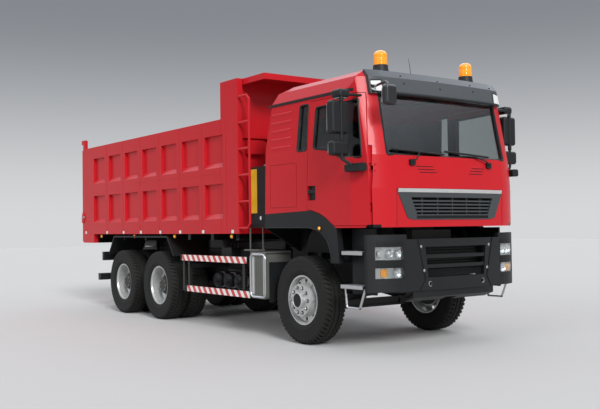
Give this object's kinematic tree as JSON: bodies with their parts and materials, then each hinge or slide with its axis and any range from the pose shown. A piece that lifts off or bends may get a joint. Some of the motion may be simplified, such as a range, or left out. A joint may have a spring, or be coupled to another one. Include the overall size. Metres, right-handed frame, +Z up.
{
  "type": "dump truck",
  "caption": "Three-axle rigid dump truck with tilting cab, steered front wheels, twin rear wheels, ribbed tipping body, tailgate and telescopic hoist.",
  "frame": {"origin": "middle of the footprint on the ground, where the tyres stand", "axes": "+X forward, +Y to the vehicle's left, +Z up"},
  "size_m": [8.605, 3.06, 3.4797],
  "materials": {
    "red_paint": "gloss paint",
    "black_plastic": "grained moulded",
    "grey_plastic": "semi gloss moulded",
    "chassis_black": "satin paint",
    "engine_grey": "cast",
    "silver_steel": "silver paint",
    "alloy": "brushed",
    "tyre_rubber": "moulded rubber",
    "clear_glass": "tinted",
    "amber_lens": "clear amber",
    "lamp_lens": "clear",
    "red_lens": "clear red",
    "seat_fabric": "woven",
    "stripe_steel": "red and white stripes",
    "chrome_rod": "hard chrome"
  },
  "bodies": {
    "chassis": {"chassis_frame": "chassis_black", "tip_subframe": "chassis_black", "front_axle": "chassis_black", "rear_axles": "chassis_black", "powertrain": "engine_grey", "battery_box": "grey_plastic", "fuel_tank": "alloy", "air_tanks": "grey_plastic", "oil_tank": "black_plastic", "side_guards": "stripe_steel", "mud_guards": "black_plastic", "rear_underrun": "chassis_black", "tail_lamps": "red_lens", "bumper": "black_plastic", "headlamps": "lamp_lens", "cab_steps": "black_plastic"},
    "cab": {"cab_shell": "red_paint", "cab_roof": "red_paint", "cab_front": "red_paint", "front_grille": "grey_plastic", "cab_glass": "clear_glass", "cab_fenders": "black_plastic", "seats": "seat_fabric", "dashboard": "grey_plastic", "sun_visor": "grey_plastic", "beacons": "amber_lens"},
    "door_left": {"door_left": "red_paint", "door_glass_left": "clear_glass", "mirrors_left": "black_plastic"},
    "door_right": {"door_right": "red_paint", "door_glass_right": "clear_glass", "mirrors_right": "black_plastic"},
    "knuckle_left": {"knuckle_left": "chassis_black"},
    "knuckle_right": {"knuckle_right": "chassis_black"},
    "front_wheel_left": {"front_tyre_left": "tyre_rubber", "front_rim_left": "silver_steel"},
    "front_wheel_right": {"front_tyre_right": "tyre_rubber", "front_rim_right": "silver_steel"},
    "bed": {"bed_floor": "red_paint", "bed_side_left": "red_paint", "bed_side_right": "red_paint", "bed_headboard": "red_paint", "cab_guard": "red_paint", "ladder": "red_paint"},
    "tailgate": {"tailgate": "red_paint"},
    "hoist_barrel": {"hoist_barrel": "chassis_black"},
    "hoist_stage_1": {"hoist_stage_1": "chrome_rod"},
    "hoist_stage_2": {"hoist_stage_2": "chrome_rod"},
    "hoist_rod": {"hoist_rod": "chrome_rod"},
    "mid_wheels_left": {"mid_tyres_left": "tyre_rubber", "mid_rims_left": "silver_steel"},
    "mid_wheels_right": {"mid_tyres_right": "tyre_rubber", "mid_rims_right": "silver_steel"},
    "rear_wheels_left": {"rear_tyres_left": "tyre_rubber", "rear_rims_left": "silver_steel"},
    "rear_wheels_right": {"rear_tyres_right": "tyre_rubber", "rear_rims_right": "silver_steel"}
  },
  "joints": [
    {"name": "tip", "type": "hinge", "parent": "chassis", "child": "bed", "pos_m": [-3.61, 0, 1.06], "axis": [0, -1, 0], "range_deg": [0, 45]},
    {"name": "tailgate_swing", "type": "hinge", "parent": "bed", "child": "tailgate", "pos_m": [-4.265, 0, 3.105], "axis": [0, 1, 0], "range_deg": [0, 70]},
    {"name": "cab_tilt", "type": "hinge", "parent": "chassis", "child": "cab", "pos_m": [3.89, 0, 1.05], "axis": [0, 1, 0], "range_deg": [0, 48]},
    {"name": "door_left_swing", "type": "hinge", "parent": "cab", "child": "door_left", "pos_m": [3.938, 1.142, 1.8], "axis": [0, 0, -1], "range_deg": [0, 70]},
    {"name": "door_right_swing", "type": "hinge", "parent": "cab", "child": "door_right", "pos_m": [3.938, -1.142, 1.8], "axis": [0, 0, 1], "range_deg": [0, 70]},
    {"name": "steer_left", "type": "hinge", "parent": "chassis", "child": "knuckle_left", "pos_m": [2.66, 0.88, 0.54], "axis": [0, 0, 1], "range_deg": [-36, 36]},
    {"name": "steer_right", "type": "hinge", "parent": "chassis", "child": "knuckle_right", "pos_m": [2.66, -0.88, 0.54], "axis": [0, 0, 1], "range_deg": [-36, 36]},
    {"name": "front_spin_left", "type": "hinge", "parent": "knuckle_left", "child": "front_wheel_left", "pos_m": [2.66, 1.032, 0.54], "axis": [0, 1, 0], "continuous": true},
    {"name": "front_spin_right", "type": "hinge", "parent": "knuckle_right", "child": "front_wheel_right", "pos_m": [2.66, -1.032, 0.54], "axis": [0, 1, 0], "continuous": true},
    {"name": "mid_spin_left", "type": "hinge", "parent": "chassis", "child": "mid_wheels_left", "pos_m": [-1.165, 1.075, 0.54], "axis": [0, 1, 0], "continuous": true},
    {"name": "mid_spin_right", "type": "hinge", "parent": "chassis", "child": "mid_wheels_right", "pos_m": [-1.165, -1.075, 0.54], "axis": [0, 1, 0], "continuous": true},
    {"name": "rear_spin_left", "type": "hinge", "parent": "chassis", "child": "rear_wheels_left", "pos_m": [-2.515, 1.075, 0.54], "axis": [0, 1, 0], "continuous": true},
    {"name": "rear_spin_right", "type": "hinge", "parent": "chassis", "child": "rear_wheels_right", "pos_m": [-2.515, -1.075, 0.54], "axis": [0, 1, 0], "continuous": true},
    {"name": "hoist_swing", "type": "hinge", "parent": "chassis", "child": "hoist_barrel", "pos_m": [1.7, 0, 0.905], "axis": [0, -1, 0], "range_deg": [0, 25.14]},
    {"name": "hoist_slide_1", "type": "slide", "parent": "hoist_barrel", "child": "hoist_stage_1", "axis": [-0.0812, 0, 0.9967], "range_m": [0, 1.3328]},
    {"name": "hoist_slide_2", "type": "slide", "parent": "hoist_stage_1", "child": "hoist_stage_2", "axis": [-0.0812, 0, 0.9967], "range_m": [0, 1.3328]},
    {"name": "hoist_slide_3", "type": "slide", "parent": "hoist_stage_2", "child": "hoist_rod", "axis": [-0.0812, 0, 0.9967], "range_m": [0, 1.3328]}
  ],
  "couplings": [
    {"joint": "steer_right", "follows": "steer_left", "ratio": 1},
    {"joint": "hoist_swing", "follows": "tip", "ratio": 0.54748},
    {"joint": "hoist_slide_1", "follows": "tip", "m_per_rad": 1.6944},
    {"joint": "hoist_slide_2", "follows": "tip", "m_per_rad": 1.6944},
    {"joint": "hoist_slide_3", "follows": "tip", "m_per_rad": 1.6944}
  ]
}
